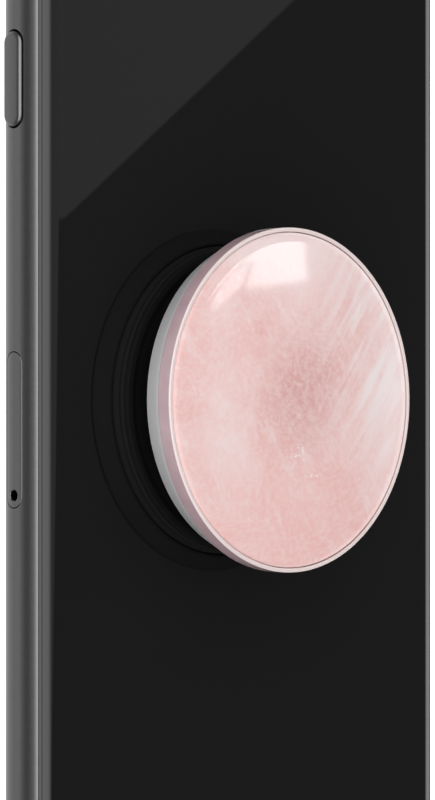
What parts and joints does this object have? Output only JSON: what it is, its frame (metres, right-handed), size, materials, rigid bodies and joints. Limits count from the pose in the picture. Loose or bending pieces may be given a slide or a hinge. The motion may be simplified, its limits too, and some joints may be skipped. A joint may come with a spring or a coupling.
{
  "type": "smartphone",
  "caption": "Slim smartphone with a glass back, metal side frame, side keys, SIM tray and a stuck-on folding disc grip topped with pink stone.",
  "frame": {"origin": "middle of the screen glass outer face, on the surface the phone lies on when it is screen down", "axes": "+Z out of the back glass, along the grip; +Y to the top edge, where the earpiece and rear camera are; +X to the right as seen from the back with the top edge up, so the power button and SIM tray are on -X"},
  "size_m": [0.0682, 0.1384, 0.0218],
  "materials": {
    "frame": "satin, anodised dark grey",
    "rear_glass": "gloss, black backed",
    "front_glass": "gloss, black backed",
    "clear_glass": "gloss",
    "steel": "satin",
    "copper": "wound copper wire",
    "board": "matte",
    "chip": "matte",
    "battery": "matte foil",
    "black_plastic": "matte",
    "gasket": "matte",
    "display": "gloss",
    "insert": "satin",
    "adhesive": "matte foam",
    "grip_black": "satin",
    "grip_fold": "satin elastomer",
    "grip_grey": "satin",
    "grip_pink": "gloss, lightly clear",
    "stone": "polished pink stone, cloudy"
  },
  "bodies": {
    "phone": {"side_frame": "frame", "rear_glass": "rear_glass", "front_glass": "front_glass", "rear_gasket": "gasket", "front_gasket": "gasket", "rear_plate": "steel", "antenna_insert_bottom_left": "insert", "antenna_insert_top_left": "insert", "antenna_insert_bottom_right": "insert", "antenna_insert_top_right": "insert", "display_panel": "display", "display_shield_plate": "steel", "home_key_switch": "steel", "earpiece_mesh": "steel", "power_switch": "steel", "volume_up_switch": "steel", "volume_down_switch": "steel", "mute_switch_body": "black_plastic", "sim_reader": "steel", "logic_board": "board", "processor_shield": "steel", "processor": "chip", "radio_shield": "steel", "battery": "battery", "bottom_board": "board", "vibration_motor_case": "steel", "charge_port": "steel", "bottom_screw_left": "steel", "bottom_screw_right": "steel", "loudspeaker": "black_plastic", "speaker_mesh": "steel", "microphone_mesh": "steel", "camera_ring": "frame", "camera_lens_cover": "clear_glass", "camera_housing": "black_plastic", "camera_lens_barrel": "black_plastic", "flash_lens": "clear_glass", "front_camera": "black_plastic", "earpiece_speaker": "black_plastic", "charging_coil_backing": "chip", "charging_coil": "copper", "grip_adhesive_pad": "adhesive", "grip_base": "grip_black", "grip_lower_fold": "grip_fold"},
    "home_key": {"home_key": "front_glass"},
    "power_button": {"power_button": "frame"},
    "volume_up_button": {"volume_up_button": "frame"},
    "volume_down_button": {"volume_down_button": "frame"},
    "mute_switch": {"mute_switch": "frame"},
    "sim_tray": {"sim_tray": "frame", "sim_card": "black_plastic"},
    "eject_lever": {"sim_eject_lever": "steel"},
    "motor_weight": {"vibration_motor_weight": "steel"},
    "grip_ring": {"grip_middle_ring": "grip_black", "grip_upper_fold": "grip_fold"},
    "grip_neck": {"grip_neck_plate": "grip_black"},
    "grip_head": {"grip_carrier": "grip_grey", "grip_cup": "grip_pink", "grip_stone": "stone"}
  },
  "joints": [
    {"name": "power_press", "type": "slide", "parent": "phone", "child": "power_button", "axis": [1, 0, 0], "range_m": [0, 0.0003], "stiffness_N_per_m": 1500},
    {"name": "volume_up_press", "type": "slide", "parent": "phone", "child": "volume_up_button", "axis": [-1, 0, 0], "range_m": [0, 0.0003], "stiffness_N_per_m": 1500},
    {"name": "volume_down_press", "type": "slide", "parent": "phone", "child": "volume_down_button", "axis": [-1, 0, 0], "range_m": [0, 0.0003], "stiffness_N_per_m": 1500},
    {"name": "home_key_press", "type": "slide", "parent": "phone", "child": "home_key", "axis": [0, 0, 1], "range_m": [0, 0.00025], "stiffness_N_per_m": 1500},
    {"name": "mute_slide", "type": "slide", "parent": "phone", "child": "mute_switch", "axis": [0, 0, 1], "range_m": [0, 0.0008]},
    {"name": "sim_tray_slide", "type": "slide", "parent": "phone", "child": "sim_tray", "axis": [-1, 0, 0], "range_m": [0, 0.016]},
    {"name": "eject_lever_turn", "type": "hinge", "parent": "phone", "child": "eject_lever", "pos_m": [-0.0297, -0.0082, 0.0028], "axis": [0, 0, 1], "range_deg": [0, 10]},
    {"name": "motor_shake", "type": "slide", "parent": "phone", "child": "motor_weight", "axis": [1, 0, 0], "range_m": [-0.0005, 0.0005], "stiffness_N_per_m": 600},
    {"name": "grip_lower_slide", "type": "slide", "parent": "phone", "child": "grip_ring", "axis": [0, 0, 1], "range_m": [0, 0.0036], "deforming": ["grip_lower_fold"]},
    {"name": "grip_upper_slide", "type": "slide", "parent": "grip_ring", "child": "grip_neck", "axis": [0, 0, 1], "range_m": [-0.0036, 0], "deforming": ["grip_upper_fold"]},
    {"name": "grip_top_turn", "type": "hinge", "parent": "grip_neck", "child": "grip_head", "pos_m": [-0.0056, 0, 0.016], "axis": [0, 0, 1], "range_deg": [0, 90]}
  ]
}
